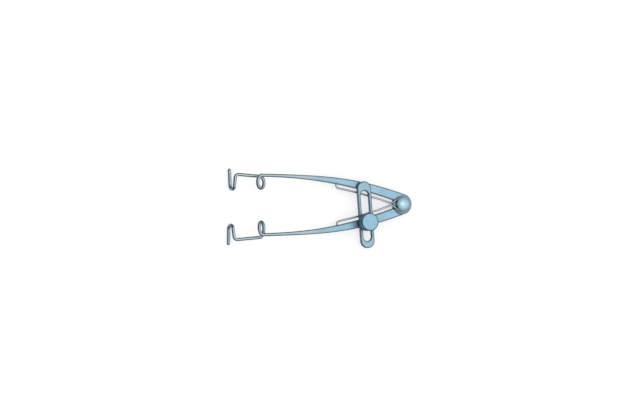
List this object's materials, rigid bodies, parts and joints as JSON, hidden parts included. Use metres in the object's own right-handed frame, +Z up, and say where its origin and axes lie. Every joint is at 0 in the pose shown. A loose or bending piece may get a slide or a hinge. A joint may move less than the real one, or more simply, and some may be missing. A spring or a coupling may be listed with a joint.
{
  "type": "eyelid speculum",
  "caption": "Adjustable wire eyelid speculum: two arms on a domed pivot, hairpin spring, slotted locking bar with a knurled thumb screw, and looped wire ends that hold the lids apart.",
  "frame": {"origin": "on the pivot's axis, at the flat foot of the rivet that the instrument lies on", "axes": "-X from the pivot towards the wire ends, +Y towards the arm that carries the locking bar's pivot, +Z up along the pivot's axis, towards the dome"},
  "size_m": [0.0789, 0.0323, 0.0082],
  "materials": {
    "satin_steel": "satin surgical stainless steel, pale steel blue",
    "bright_steel": "brighter, finely turned stainless steel",
    "spring_steel": "drawn spring wire"
  },
  "bodies": {
    "upper_arm": {"upper_arm": "satin_steel", "pivot_rivet": "bright_steel", "pivot_washer": "satin_steel", "hairpin_spring": "spring_steel"},
    "lower_arm": {"lower_arm": "satin_steel"},
    "lock_bar": {"lock_bar": "satin_steel", "bar_screw": "bright_steel"},
    "thumb_screw": {"thumb_screw": "bright_steel"}
  },
  "joints": [
    {"name": "arm_hinge", "type": "hinge", "parent": "upper_arm", "child": "lower_arm", "pos_m": [0, 0, 0], "axis": [0, 0, 1], "range_deg": [-10, 22.4], "deforming": ["hairpin_spring"]},
    {"name": "bar_pivot", "type": "hinge", "parent": "upper_arm", "child": "lock_bar", "pos_m": [-0.0169, 0.00733, 0], "axis": [0, 0, 1], "range_deg": [-4.5, 10]},
    {"name": "thumb_turn", "type": "hinge", "parent": "lower_arm", "child": "thumb_screw", "pos_m": [-0.01605, -0.00713, 0], "axis": [0, 0, 1], "range_deg": [0, 360]}
  ],
  "couplings": [
    {"joint": "bar_pivot", "follows": "arm_hinge", "ratio": 0.445}
  ]
}
